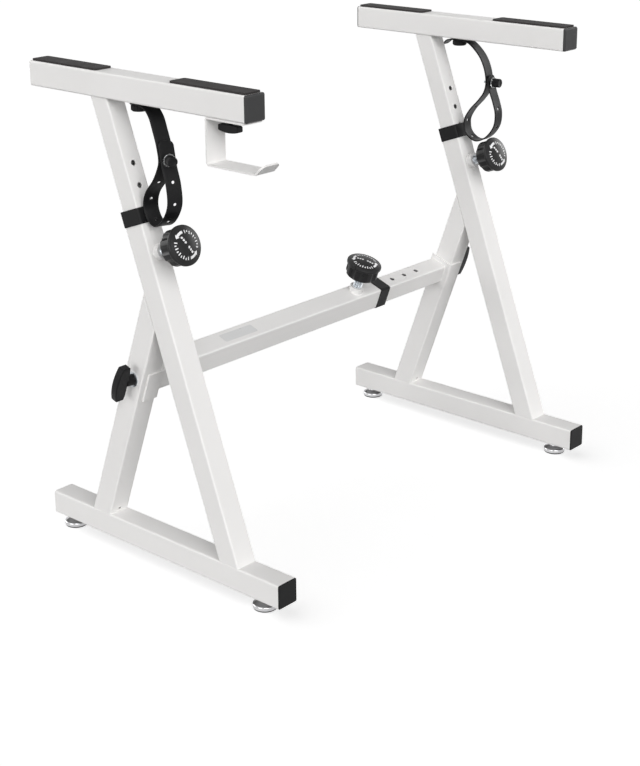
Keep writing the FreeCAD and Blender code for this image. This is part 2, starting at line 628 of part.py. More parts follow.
def all_nodes():
    """Every node of the stand by name."""
    nodes = {}
    for name, shape in symmetric_nodes().items():
        nodes["left_" + name] = shape
        nodes["right_" + name] = mirrored(shape)
    front_cap = beam_cap(BEAM_FRONT, BEAM_FRONT_LIP, -1)
    rear_cap = beam_cap(BEAM_REAR, BEAM_REAR_LIP, 1)
    nodes["left_beam"] = hook_beam()
    nodes["right_beam"] = mirrored(beam())
    nodes["left_beam_front_cap"] = front_cap
    nodes["left_beam_rear_cap"] = rear_cap
    nodes["right_beam_caps"] = mirrored(Part.Compound([front_cap, rear_cap]))
    nodes["headphone_hook"] = hook()
    nodes["hook_screw"] = hook_screw()
    nodes["crossbar_outer_tube"] = crossbar_outer()
    nodes["crossbar_inner_tube"] = crossbar_inner()
    nodes["crossbar_collar"] = collar(CROSS_OUTER_END, CROSS)
    left_lock = lock_nodes("left_lock", MAIN_LOCK)
    nodes.update(left_lock)
    for name, shape in left_lock.items():
        nodes[name.replace("left", "right")] = shape.translated(X * 2 * FRAME_X)
    nodes.update(lock_nodes("crossbar_lock", CROSS_LOCK))
    nodes.update(strap_nodes("left", LEFT_ROUTE, -FRAME_X, LEFT_YAW, LEFT_STUD, STUD_TAILS[0]))
    nodes.update(strap_nodes("right", RIGHT_ROUTE, FRAME_X, RIGHT_YAW, RIGHT_STUD, STUD_TAILS[1]))
    return nodes


def main():
    """Write one STEP file for each node."""
    os.makedirs("parts", exist_ok=True)
    nodes = all_nodes()
    for name, shape in nodes.items():
        state = "valid" if shape.isValid() else "INVALID"
        print(f"{name}: {state}, {len(shape.Solids)} solids, {shape.Volume / 1000:.2f} cm3")
        shape.exportStep(f"parts/{name}.step")
    print(len(nodes), "nodes")


main()
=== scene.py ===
"""Looks of a height-adjustable keyboard stand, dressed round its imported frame.

Everything is in metres in the stand's own frame: x along the crossbar, y to the rear, z up.
"""

import json
import logging
import math
from collections.abc import Callable, Sequence
from dataclasses import dataclass, field
from enum import Enum

import bmesh
import bpy
from mathutils import Matrix, Vector

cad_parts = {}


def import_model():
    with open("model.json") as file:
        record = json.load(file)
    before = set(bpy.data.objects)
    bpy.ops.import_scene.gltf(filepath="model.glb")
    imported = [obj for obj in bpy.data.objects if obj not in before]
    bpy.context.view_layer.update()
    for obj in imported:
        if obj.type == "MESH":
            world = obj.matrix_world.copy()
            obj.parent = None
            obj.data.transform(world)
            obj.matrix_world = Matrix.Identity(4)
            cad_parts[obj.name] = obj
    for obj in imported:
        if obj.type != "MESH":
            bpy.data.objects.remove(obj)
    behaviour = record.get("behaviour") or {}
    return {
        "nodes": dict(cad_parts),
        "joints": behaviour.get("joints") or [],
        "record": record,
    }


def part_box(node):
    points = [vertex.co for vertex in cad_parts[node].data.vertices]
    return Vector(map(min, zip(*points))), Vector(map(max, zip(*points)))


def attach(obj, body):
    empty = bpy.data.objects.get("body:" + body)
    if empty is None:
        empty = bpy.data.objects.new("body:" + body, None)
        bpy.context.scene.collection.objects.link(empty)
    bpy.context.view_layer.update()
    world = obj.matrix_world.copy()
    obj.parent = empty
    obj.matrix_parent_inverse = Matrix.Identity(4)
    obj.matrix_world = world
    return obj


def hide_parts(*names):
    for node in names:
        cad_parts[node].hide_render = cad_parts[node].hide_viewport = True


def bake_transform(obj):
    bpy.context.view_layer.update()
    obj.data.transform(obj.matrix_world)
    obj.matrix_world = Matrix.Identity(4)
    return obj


LOG = logging.getLogger("keyboard_stand")

MM = 0.001
X_AXIS, Y_AXIS, Z_AXIS = Vector((1, 0, 0)), Vector((0, 1, 0)), Vector((0, 0, 1))
# A noise pattern is nearly all between these two grey values.
NOISE_LOW, NOISE_HIGH = 0.3, 0.7

Colour = tuple[float, float, float]
Profile = Sequence[tuple[float, float]]
RadiusRule = Callable[[float, float, float], float]


class Slot(Enum):
    """Material slots of the record that the pieces take their finish from."""

    WHITE_PAINT = "white_paint"
    WHITE_PLASTIC = "white_plastic"
    BLACK_PLASTIC = "black_plastic"
    KNOB_PLASTIC = "knob_plastic"
    GREY_PLASTIC = "grey_plastic"
    PAD_RUBBER = "pad_rubber"
    STRAP_RUBBER = "strap_rubber"
    ZINC_STEEL = "zinc_steel"
    FOOT_CHROME = "foot_chrome"
    SPRING_STEEL = "spring_steel"


class Side(Enum):
    """The two side frames, each named as its bodies are."""

    LEFT = "left"
    RIGHT = "right"


class End(Enum):
    """The two ends of a base rail."""

    FRONT = "front"
    REAR = "rear"


# ---- finishes -----------------------------------------------------------------------------
class Graph:
    """Shader nodes of one material, with its main shader and the piece's own coordinates."""

    def __init__(self, name: str) -> None:
        """Start a material.

        Args:
            name: Name of the material.
        """
        self.material = bpy.data.materials.new(name)
        self.material.use_nodes = True
        self.tree = self.material.node_tree
        self.shader = self.tree.nodes["Principled BSDF"]
        self.place = self.add("ShaderNodeTexCoord").outputs["Object"]

    def add(self, kind: str, **settings: object) -> bpy.types.Node:
        """Add a node.

        Args:
            kind: Blender's identifier of the node.
            settings: Properties to set on it.

        Returns:
            The new node.
        """
        node = self.tree.nodes.new(kind)
        for key, value in settings.items():
            setattr(node, key, value)
        return node

    def join(self, source: bpy.types.NodeSocket, target: bpy.types.NodeSocket) -> None:
        """Link an output to an input."""
        self.tree.links.new(source, target)

    def either(self, first: bpy.types.NodeSocket, second: bpy.types.NodeSocket) -> bpy.types.NodeSocket:
        """Take the larger of two grey values.

        Args:
            first: One value.
            second: The other.

        Returns:
            The larger one.
        """
        node = self.add("ShaderNodeMath", operation="MAXIMUM")
        self.join(first, node.inputs[0])
        self.join(second, node.inputs[1])
        return node.outputs["Value"]

    def stretched(self, scale: Colour) -> bpy.types.NodeSocket:
        """Scale the piece's coordinates.

        Args:
            scale: Factor along each axis.

        Returns:
            The scaled coordinates.
        """
        node = self.add("ShaderNodeMapping")
        node.inputs["Scale"].default_value = scale
        self.join(self.place, node.inputs["Vector"])
        return node.outputs["Vector"]

    def noise(self, scale: float, detail: float = 2.0,
              place: bpy.types.NodeSocket | None = None) -> bpy.types.NodeSocket:
        """Add a noise pattern.

        Args:
            scale: Features to the metre.
            detail: Octaves of finer noise.
            place: Coordinates, or None for the piece's own.

        Returns:
            The grey value of the pattern.
        """
        node = self.add("ShaderNodeTexNoise")
        node.inputs["Scale"].default_value = scale
        node.inputs["Detail"].default_value = detail
        self.join(place or self.place, node.inputs["Vector"])
        return node.outputs["Fac"]

    def spread(self, value: bpy.types.NodeSocket, low: float, high: float) -> bpy.types.NodeSocket:
        """Map the middle of a noise pattern to a range.

        Args:
            value: Grey value of the pattern.
            low: Result where the pattern is darkest.
            high: Result where it is lightest.

        Returns:
            The mapped value.
        """
        node = self.add("ShaderNodeMapRange")
        node.inputs["From Min"].default_value = NOISE_LOW
        node.inputs["From Max"].default_value = NOISE_HIGH
        node.inputs["To Min"].default_value = low
        node.inputs["To Max"].default_value = high
        self.join(value, node.inputs["Value"])
        return node.outputs["Result"]

    def tint(self, value: bpy.types.NodeSocket, dark: Colour, light: Colour) -> None:
        """Colour the shader between two tones.

        Args:
            value: Grey value of a pattern.
            dark: Tone where the pattern is darkest.
            light: Tone where it is lightest.
        """
        node = self.add("ShaderNodeValToRGB")
        first, last = node.color_ramp.elements
        first.position, last.position = NOISE_LOW, NOISE_HIGH
        first.color, last.color = (*dark, 1), (*light, 1)
        self.join(value, node.inputs["Fac"])
        self.join(node.outputs["Color"], self.shader.inputs["Base Color"])

    def rough(self, value: bpy.types.NodeSocket, low: float, high: float) -> None:
        """Vary the shader's roughness between two values by a grey value."""
        self.join(self.spread(value, low, high), self.shader.inputs["Roughness"])

    def bump(self, height: bpy.types.NodeSocket, depth: float, strength: float = 1.0) -> None:
        """Raise the surface by a grey value.

        Args:
            height: Grey value.
            depth: Height in metres of a full step.
            strength: Share of the effect.
        """
        node = self.add("ShaderNodeBump")
        node.inputs["Distance"].default_value = depth
        node.inputs["Strength"].default_value = strength
        earlier = self.shader.inputs["Normal"].links
        if earlier:
            self.join(earlier[0].from_socket, node.inputs["Normal"])
        self.join(height, node.inputs["Height"])
        self.join(node.outputs["Normal"], self.shader.inputs["Normal"])


def shade(colour: Colour, factor: float) -> Colour:
    """A colour made darker or lighter by a factor."""
    return (colour[0] * factor, colour[1] * factor, colour[2] * factor)


@dataclass(frozen=True)
class Finish:
    """Base of all finishes: a colour and a roughness with a slight drift, and a shine."""

    name: str
    colour: Colour
    roughness: float
    drift: float = 0.04
    shine: float = 0.5
    cloud_scale: float = 9.0
    handling_scale: float = 60.0
    handling: float = 0.12

    def graph(self) -> Graph:
        """Start the material with its drift of tone and of roughness.

        Returns:
            The material's graph.
        """
        graph = Graph(self.name)
        cloud = graph.noise(self.cloud_scale, 4.0)
        graph.tint(cloud, shade(self.colour, 1 - self.drift), shade(self.colour, 1 + self.drift))
        graph.rough(graph.noise(self.handling_scale, 5.0), self.roughness * (1 - self.handling),
                    self.roughness * (1 + self.handling))
        graph.shader.inputs["Specular IOR Level"].default_value = self.shine
        return graph

    def material(self) -> bpy.types.Material:
        """Build the material."""
        return self.graph().material


@dataclass(frozen=True)
class PowderCoat(Finish):
    """Baked powder coat: satin, with the fine ripple of orange peel on a slower wave."""

    coat: float = 0.04
    coat_roughness: float = 0.22
    peel_scale: float = 620.0
    peel_depth: float = 0.12 * MM

    def material(self) -> bpy.types.Material:
        """Build the material.

        Returns:
            The material.
        """
        graph = self.graph()
        graph.shader.inputs["Coat Weight"].default_value = self.coat
        graph.shader.inputs["Coat Roughness"].default_value = self.coat_roughness
        graph.bump(graph.noise(self.peel_scale, 1.5), self.peel_depth, 0.35)
        graph.bump(graph.noise(self.peel_scale / 6, 2.0), self.peel_depth * 2, 0.18)
        return graph.material


@dataclass(frozen=True)
class MouldedPlastic(Finish):
    """Moulded plastic with a spark-eroded grain."""

    grain_scale: float = 2600.0
    grain_depth: float = 0.06 * MM
    wave_scale: float = 140.0
    wave_depth: float = 0.2 * MM

    def material(self) -> bpy.types.Material:
        """Build the material.

        Returns:
            The material.
        """
        graph = self.graph()
        graph.bump(graph.noise(self.grain_scale, 3.0), self.grain_depth, 0.5)
        graph.bump(graph.noise(self.wave_scale, 2.0), self.wave_depth, 0.12)
        return graph.material


@dataclass(frozen=True)
class Rubber(Finish):
    """Moulded rubber: soft sheen, fine grain and faint flow marks along its length."""

    sheen: float = 0.15
    sheen_roughness: float = 0.4
    grain_scale: float = 1900.0
    grain_depth: float = 0.08 * MM
    flow: Colour = (270.0, 42.0, 270.0)
    flow_depth: float = 0.3 * MM

    def material(self) -> bpy.types.Material:
        """Build the material.

        Returns:
            The material.
        """
        graph = self.graph()
        graph.shader.inputs["Sheen Weight"].default_value = self.sheen
        graph.shader.inputs["Sheen Roughness"].default_value = self.sheen_roughness
        graph.bump(graph.noise(self.grain_scale, 3.0), self.grain_depth, 0.6)
        graph.bump(graph.noise(1.0, 2.0, graph.stretched(self.flow)), self.flow_depth, 0.15)
        return graph.material


@dataclass(frozen=True)
class DrawnMetal(Finish):
    """Bare or plated metal with fine marks along one axis."""

    marks: Colour = (900.0, 900.0, 60.0)
    mark_depth: float = 0.05 * MM

    def material(self) -> bpy.types.Material:
        """Build the material.

        Returns:
            The material.
        """
        graph = self.graph()
        graph.shader.inputs["Metallic"].default_value = 1.0
        lines = graph.noise(1.0, 3.0, graph.stretched(self.marks))
        graph.rough(lines, self.roughness * 0.7, self.roughness * 1.35)
        graph.bump(lines, self.mark_depth, 0.4)
        return graph.material


@dataclass(frozen=True)
class ClearPlastic(Finish):
    """Clear moulded plastic with slight haze."""

    clearness: float = 0.92
    refraction: float = 1.49
    ripple_scale: float = 300.0
    ripple_depth: float = 0.1 * MM

    def material(self) -> bpy.types.Material:
        """Build the material.

        Returns:
            The material.
        """
        graph = self.graph()
        graph.shader.inputs["Transmission Weight"].default_value = self.clearness
        graph.shader.inputs["IOR"].default_value = self.refraction
        graph.bump(graph.noise(self.ripple_scale, 2.0), self.ripple_depth, 0.2)
        return graph.material


class Wardrobe:
    """The finishes of the stand, built once and handed out by slot or by name."""

    def __init__(self) -> None:
        """Build every finish."""
        self.by_slot = {slot: finish.material() for slot, finish in self.slot_finishes().items()}
        self.clear = ClearPlastic("clear_washer", (0.92, 0.93, 0.93), 0.08, 0.01).material()
        self.sole = Rubber("sole_rubber", (0.022, 0.022, 0.023), 0.7).material()
        self.ink = MouldedPlastic("white_ink", (0.86, 0.86, 0.87), 0.42, 0.03,
                                  grain_scale=1500.0, grain_depth=0.03 * MM).material()
        self.label = MouldedPlastic("blank_label", (0.68, 0.68, 0.68), 0.3, 0.03,
                                    grain_scale=900.0, grain_depth=0.02 * MM).material()

    @staticmethod
    def slot_finishes() -> dict[Slot, Finish]:
        """The finish of each slot.

        Returns:
            Finishes by slot.
        """
        return {
            Slot.WHITE_PAINT: PowderCoat("white_powder_coat", (0.83, 0.82, 0.81), 0.42, 0.012, 0.12),
            Slot.WHITE_PLASTIC: MouldedPlastic("white_plastic", (0.77, 0.76, 0.75), 0.5, 0.02, 0.2),
            Slot.BLACK_PLASTIC: MouldedPlastic("black_plastic", (0.008, 0.008, 0.0085), 0.42, 0.1, 0.12),
            Slot.KNOB_PLASTIC: MouldedPlastic("knob_plastic", (0.012, 0.012, 0.0125), 0.3, 0.1, 0.2),
            Slot.GREY_PLASTIC: MouldedPlastic("grey_plastic", (0.044, 0.044, 0.045), 0.45, 0.06, 0.15),
            Slot.PAD_RUBBER: Rubber("pad_rubber", (0.042, 0.039, 0.039), 0.72, 0.06, 0.05, sheen=0.02),
            Slot.STRAP_RUBBER: Rubber("strap_rubber", (0.006, 0.006, 0.0065), 0.42, 0.1, 0.15,
                                      sheen=0.02),
            Slot.ZINC_STEEL: DrawnMetal("zinc_steel", (0.60, 0.63, 0.66), 0.26, 0.05),
            Slot.FOOT_CHROME: DrawnMetal("foot_chrome", (0.55, 0.55, 0.56), 0.12, 0.04,
                                         marks=(500.0, 500.0, 500.0), mark_depth=0.02 * MM),
            Slot.SPRING_STEEL: DrawnMetal("spring_steel", (0.5, 0.5, 0.5), 0.3, 0.05),
        }

    def wear(self, piece: bpy.types.Object, slot: Slot,
             material: bpy.types.Material | None = None) -> None:
        """Give a piece its slot and its material.

        Args:
            piece: The piece.
            slot: Slot of the record.
            material: Finish to use in place of the slot's own.
        """
        piece.data.materials.clear()
        piece.data.materials.append(material or self.by_slot[slot])


# ---- shapes -------------------------------------------------------------------------------
def placed(origin: Vector, z_dir: Vector, x_dir: Vector = X_AXIS) -> Matrix:
    """Matrix of a local frame.

    Args:
        origin: Where the frame stands.
        z_dir: Its z direction.
        x_dir: Its x direction.

    Returns:
        The matrix that carries local points to the stand's frame.
    """
    z_dir = z_dir.normalized()
    x_dir = x_dir.normalized()
    y_dir = z_dir.cross(x_dir)
    turn = Matrix((x_dir, y_dir, z_dir)).transposed().to_4x4()
    return Matrix.Translation(origin) @ turn


class Shape:
    """Points and faces of one piece, gathered in a local frame."""

    def __init__(self, frame: Matrix | None = None) -> None:
        """Start an empty shape.

        Args:
            frame: Matrix from local coordinates to the stand's frame.
        """
        self.frame = frame or Matrix.Identity(4)
        self.points: list[Vector] = []
        self.faces: list[tuple[int, ...]] = []

    def ring(self, points: Sequence[Vector]) -> list[int]:
        """Add points.

        Args:
            points: Points in the local frame.

        Returns:
            Their numbers.
        """
        start = len(self.points)
        self.points.extend(self.frame @ point for point in points)
        return list(range(start, len(self.points)))

    def bridge(self, first: Sequence[int], second: Sequence[int]) -> None:
        """Join two closed rings with faces.

        Args:
            first: Numbers of the first ring's points; a single one is a pole.
            second: Numbers of the second ring's points; a single one is a pole.
        """
        count = max(len(first), len(second))
        for i in range(count):
            j = (i + 1) % count
            if len(first) == 1:
                self.faces.append((first[0], second[j], second[i]))
            elif len(second) == 1:
                self.faces.append((first[i], first[j], second[0]))
            else:
                self.faces.append((first[i], first[j], second[j], second[i]))

    def loft(self, rows: Sequence[Sequence[Vector]], closed: bool = False) -> None:
        """Join closed rings one after the other.

        Args:
            rows: Rings of points; the first and last are closed with a face unless closed.
            closed: Whether the last ring joins the first.
        """
        rings = [self.ring(row) for row in rows]
        for first, second in zip(rings, rings[1:]):
            self.bridge(first, second)
        if closed:
            self.bridge(rings[-1], rings[0])
            return
        if len(rings[0]) > 1:
            self.faces.append(tuple(reversed(rings[0])))
        if len(rings[-1]) > 1:
            self.faces.append(tuple(rings[-1]))

    def lathe(self, profile: Profile, sides: int, rule: RadiusRule | None = None,
              closed: bool = False) -> None:
        """Turn a profile about the local z axis.

        Args:
            profile: Radius and height of each ring in metres; radius 0 makes a pole.
            sides: Points on each ring.
            rule: Radius as a function of profile radius, height and angle.
            closed: Whether the profile is a loop, as for a bush.
        """
        rows = []
        for radius, height in profile:
            if radius <= 0:
                rows.append([Vector((0, 0, height))])
                continue
            row = []
            for side in range(sides):
                angle = 2 * math.pi * side / sides
                reach = rule(radius, height, angle) if rule else radius
                row.append(Vector((reach * math.cos(angle), reach * math.sin(angle), height)))
            rows.append(row)
        self.loft(rows, closed)

    def plate(self, top: Sequence[Sequence[Vector]], bottom: Sequence[Sequence[Vector]]) -> None:
        """Closed thin plate between two grids of points.

        Args:
            top: Rows of points of the outer surface.
            bottom: Rows of points of the inner surface, matching the outer ones.
        """
        upper = [self.ring(row) for row in top]
        lower = [self.ring(row) for row in bottom]
        for i in range(len(upper) - 1):
            for j in range(len(upper[0]) - 1):
                self.faces.append((upper[i][j], upper[i + 1][j], upper[i + 1][j + 1], upper[i][j + 1]))
                self.faces.append((lower[i][j], lower[i][j + 1], lower[i + 1][j + 1], lower[i + 1][j]))
        edge_up = upper[0] + [row[-1] for row in upper[1:]] + upper[-1][-2::-1]
        edge_up += [row[0] for row in upper[-2:0:-1]]
        edge_low = lower[0] + [row[-1] for row in lower[1:]] + lower[-1][-2::-1]
        edge_low += [row[0] for row in lower[-2:0:-1]]
        self.bridge(edge_up, edge_low)

    def piece(self, name: str, sharp: float = 35.0) -> bpy.types.Object:
        """Make the piece's object.

        Args:
            name: Name of the piece.
            sharp: Angle in degrees above which an edge stays sharp.

        Returns:
            The new object, in the stand's frame.
        """
        mesh = bpy.data.meshes.new(name)
        mesh.from_pydata(self.points, [], self.faces)
        mesh.validate()
        solid = bmesh.new()
        solid.from_mesh(mesh)
        bmesh.ops.recalc_face_normals(solid, faces=solid.faces)
        solid.to_mesh(mesh)
        solid.free()
        mesh.shade_smooth()
        mesh.set_sharp_from_angle(angle=math.radians(sharp))
        made = bpy.data.objects.new(name, mesh)
        bpy.context.scene.collection.objects.link(made)
        return made


def arc(centre: tuple[float, float], radius: float, start: float, end: float,
        steps: int) -> list[tuple[float, float]]:
    """Points of a round corner of a profile.

    Args:
        centre: Radius and height of its middle.
        radius: Radius of the corner.
        start: First angle in degrees, 0 pointing outward and 90 up.
        end: Last angle.
        steps: Number of spans.

    Returns:
        The profile's points.
    """
    points = []
    for step in range(steps + 1):
        angle = math.radians(start + (end - start) * step / steps)
        points.append((centre[0] + radius * math.cos(angle), centre[1] + radius * math.sin(angle)))
    return points


def in_metres(profile: Profile) -> list[tuple[float, float]]:
    """A profile written in millimetres, in metres."""
    return [(radius * MM, height * MM) for radius, height in profile]


def knurl(count: int, depth: float, low: float, high: float) -> RadiusRule:
    """Rule for a ring of ridges between two heights.

    Args:
        count: Number of ridges.
        depth: Depth of the grooves.
        low: Height where they start.
        high: Height where they end.

    Returns:
        The rule for a lathe.
    """
    def rule(radius: float, height: float, angle: float) -> float:
        """Radius on the knurl.

        Args:
            radius: Radius of the plain profile.
            height: Height on it.
            angle: Angle about the axis.

        Returns:
            The radius, drawn in at the grooves.
        """
        if not low <= height <= high:
            return radius
        wave = 0.5 - 0.5 * math.cos(count * angle)
        return radius - depth * wave ** 2
    return rule


def threaded(shape: Shape, radius: float, low: float, high: float, pitch: float, sides: int) -> None:
    """Add a rod with a helical thread to a shape.

    Args:
        shape: The shape to add to.
        radius: Outer radius.
        low: Lower end.
        high: Upper end.
        pitch: Rise of the thread in one turn.
        sides: Points on each ring.
    """
    depth, lead, chamfer = pitch * 0.55, pitch * 1.2, pitch * 0.25
    steepness, crest_width = 1.3, 0.15
    rows_per_turn = 6
    count = max(2, int((high - low) / pitch * rows_per_turn))

    def cut(_: float, height: float, angle: float) -> float:
        """Radius on the thread.

        Args:
            _: Radius of the plain rod, which isn't needed.
            height: Height on it.
            angle: Angle about the axis.

        Returns:
            The radius, drawn in between the crests and at both ends.
        """
        turn = ((height - low) / pitch - angle / (2 * math.pi)) % 1.0
        flank = abs(2 * turn - 1)
        run_out = min(1.0, (height - low) / lead, (high - height) / lead)
        crest = radius - chamfer * (1 - run_out)
        return crest - depth * min(1.0, max(0.0, flank * steepness - crest_width)) * run_out

    heights = [low + (high - low) * i / count for i in range(count + 1)]
    profile = [(0.0, low), *((radius, height) for height in heights), (0.0, high)]
    shape.lathe(profile, sides, cut)


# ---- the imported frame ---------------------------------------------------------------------
@dataclass
class PackedFrame:
    """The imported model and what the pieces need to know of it."""

    nodes: dict[str, bpy.types.Object]
    joints: list[dict]
    record: dict

    @classmethod
    def load(cls) -> "PackedFrame":
        """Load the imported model.

        Returns:
            The frame.
        """
        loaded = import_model()
        return cls(loaded["nodes"], loaded["joints"], loaded["record"])

    def joint_frame(self, name: str) -> Matrix:
        """Local frame at a joint, with z along its axis.

        Args:
            name: Name of the joint.

        Returns:
            The matrix from the local frame to the stand's frame.
        """
        joint = next(row for row in self.joints if row["name"] == name)
        axis = Vector(joint["axis"]).normalized()
        along_x = abs(axis.x) > math.cos(math.radians(25))
        across = Z_AXIS if along_x else X_AXIS
        return placed(Vector(joint["pos_m"]), axis, across - axis * across.dot(axis))

    def dress(self, wardrobe: Wardrobe) -> None:
        """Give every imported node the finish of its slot.

        Args:
            wardrobe: The finishes.
        """
        for row in self.record["subparts"]:
            node = self.nodes[row["node"]]
            wardrobe.wear(node, Slot(row["material_slot"]))


# ---- sub-assemblies -----------------------------------------------------------------------
@dataclass
class PullLock:
    """Pull-pin lock: threaded sleeve, and a fluted knob with a printed crown.

    The knob's sizes and the print's are in millimetres, its heights from the leg's surface.
    """

    name: str
    frame: Matrix
    sleeve_radius: float = 8.1 * MM
    sleeve_low: float = 0.4 * MM
    sleeve_high: float = 43.0 * MM
    thread_pitch: float = 1.5 * MM
    knob_back: float = 33.5
    rim: float = 61.8
    peak: float = 67.3
    bore: float = 8.5
    well_wall: float = 8.0
    bevel: float = 0.6
    body_radius: float = 29.4
    back_round: float = 7.0
    flange_radius: float = 31.8
    plate: float = 5.0
    crown_inset: float = 2.5
    lobes: int = 8
    cutter_radius: float = 8.5
    cutter_out: float = 4.3
    flute_round: float = 0.7
    flutes_from: float = 12.0
    print_lift: float = 0.12
    print_turn: float = 118.0
    arrow_band: tuple[float, float] = (18.6, 22.6)
    arrow_span: tuple[float, float] = (-24.0, 12.0)
    head_span: tuple[float, float] = (11.0, 25.0)
    head_reach: float = 3.9
    head_tip: float = 0.05
    ticks: int = 9
    first_tick: float = 42.0
    tick_step: float = 12.6
    tick_half: float = 2.4
    tick_starts: tuple[float, float] = (18.0, 19.8)
    tick_end: float = 23.0
    dashes: int = 3
    dash_step: float = 4.6
    dash_half_length: float = 1.6
    dash_half_width: float = 1.7

    def crown_height(self, radius: float) -> float:
        """Height of the crown's sphere at a radius.

        Args:
            radius: Distance from the axis in millimetres.

        Returns:
            The height in millimetres.
        """
        edge = self.flange_radius - self.crown_inset
        rise = self.peak - self.rim
        ball = (edge * edge + rise * rise) / (2 * rise)
        return self.peak - ball + math.sqrt(ball * ball - radius * radius)

    def flute(self, radius: float, height: float, angle: float) -> float:
        """Radius of the fluted body.

        Args:
            radius: Radius of the plain profile in metres.
            height: Height in metres.
            angle: Angle about the axis.

        Returns:
            The radius in metres, drawn in at the grooves with a rounded edge.
        """
        if height > (self.rim - self.plate) * MM or radius < self.flutes_from * MM:
            return radius
        pitch = 2 * math.pi / self.lobes
        away = (angle + pitch / 2) % pitch - pitch / 2
        centre = self.body_radius + self.cutter_out
        across = centre * math.sin(away)
        if abs(across) >= self.cutter_radius:
            return radius
        groove = (centre * math.cos(away) - math.sqrt(self.cutter_radius ** 2 - across ** 2)) * MM
        edge = self.flute_round * MM
        gap = groove - radius
        if gap > 2 * edge:
            return radius
        return (groove + radius - math.sqrt(gap * gap + edge * edge)) / 2 + edge / 4

    def knob(self) -> bpy.types.Object:
        """Fluted knob with its round plate and crown.

        Returns:
            The knob.
        """
        well, under = self.rim - self.well_wall, self.rim - self.plate
        back, body, flange = self.knob_back, self.body_radius, self.flange_radius
        crown_edge = flange - self.crown_inset
        profile = [(0, well), (self.bore, well), (self.bore, back + self.bevel),
                   (self.bore + self.bevel, back), (12.5, back), (17, back)]
        profile += arc((body - self.back_round, back + self.back_round), self.back_round, -90, 0, 7)
        profile += [(body, height) for height in (44, 48, 52, 55, under - 0.4, under - 0.05)]
        profile += [(body + self.bevel, under + 0.05)]
        profile += arc((flange - 1, under + 1), 1, -90, 0, 4)
        profile += arc((flange - 1.6, self.rim - 1.6), 1.6, 0, 80, 5)
        profile += [(crown_edge * share, self.crown_height(crown_edge * share))
                    for share in (0.985, 0.93, 0.86, 0.78, 0.68, 0.56, 0.42, 0.28, 0.14)]
        profile.append((0, self.peak))
        shape = Shape(self.frame)
        shape.lathe(in_metres(profile), 24 * self.lobes, self.flute)
        return shape.piece(f"{self.name}_fluted_knob", 40.0)

    def patch(self, shape: Shape, radii: Callable[[float], tuple[float, float]],
              start: float, end: float, steps: int) -> None:
        """Add a printed patch that lies on the crown.

        Args:
            shape: The print's shape.
            radii: Inner and outer radius in millimetres, by share of the way along.
            start: First angle in degrees.
            end: Last angle in degrees.
            steps: Spans along the patch.
        """
        columns = 3
        sunk = Z_AXIS * (2.5 * self.print_lift)
        top, bottom = [], []
        for step in range(steps + 1):
            share = step / steps
            angle = math.radians(self.print_turn + start + (end - start) * share)
            inner, outer = radii(share)
            row = []
            for column in range(columns + 1):
                radius = inner + (outer - inner) * column / columns
                row.append(Vector((radius * math.cos(angle), radius * math.sin(angle),
                                   self.crown_height(radius) + self.print_lift)))
            top.append([spot * MM for spot in row])
            bottom.append([(spot - sunk) * MM for spot in row])
        shape.plate(top, bottom)

    def arrow_head(self, share: float) -> tuple[float, float]:
        """Inner and outer radius of an arrow's head, which narrows to its tip."""
        reach = self.head_reach * (1 - share) + self.head_tip
        return sum(self.arrow_band) / 2 - reach, sum(self.arrow_band) / 2 + reach

    def scale_print(self) -> bpy.types.Object:
        """Plain printed scale: two curved arrows, two rows of ticks and a row of dashes.

        Returns:
            The print.
        """
        shape = Shape(self.frame)
        for side in (0, 180):
            self.patch(shape, lambda _: self.arrow_band,
                       side + self.arrow_span[0], side + self.arrow_span[1], 12)
            self.patch(shape, self.arrow_head, side + self.head_span[0], side + self.head_span[1], 5)
            for tick in range(self.ticks):
                ends = (self.tick_starts[tick % 2], self.tick_end)
                middle = side + self.first_tick + tick * self.tick_step
                self.patch(shape, lambda _, ends=ends: ends,
                           middle - self.tick_half, middle + self.tick_half, 2)
            for dash in range(1, self.dashes + 1):
                reach = dash * self.dash_step
                ends = (reach - self.dash_half_length, reach + self.dash_half_length)
                half = math.degrees(self.dash_half_width / reach)
                self.patch(shape, lambda _, ends=ends: ends, side - half, side + half, 4)
        return shape.piece(f"{self.name}_scale_print", 30.0)

    def sleeve(self) -> bpy.types.Object:
        """Threaded sleeve between the boss and the knob.

        Returns:
            The sleeve.
        """
        shape = Shape(self.frame)
        threaded(shape, self.sleeve_radius, self.sleeve_low, self.sleeve_high, self.thread_pitch, 48)
        return shape.piece(f"{self.name}_threaded_sleeve", 25.0)

    def build(self, wardrobe: Wardrobe) -> list[bpy.types.Object]:
        """Build and dress the lock.

        Args:
            wardrobe: The finishes.

        Returns:
            Its pieces.
        """
        knob, mark, sleeve = self.knob(), self.scale_print(), self.sleeve()
        wardrobe.wear(knob, Slot.KNOB_PLASTIC)
        wardrobe.wear(mark, Slot.WHITE_PLASTIC, wardrobe.ink)
        wardrobe.wear(sleeve, Slot.ZINC_STEEL)
        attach(knob, f"{self.name}_pull")
        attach(mark, f"{self.name}_pull")
        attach(sleeve, f"{self.name}_sleeve")
        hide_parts(f"{self.name}_knob")
        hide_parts(f"{self.name}_sleeve")
        return [knob, mark, sleeve]


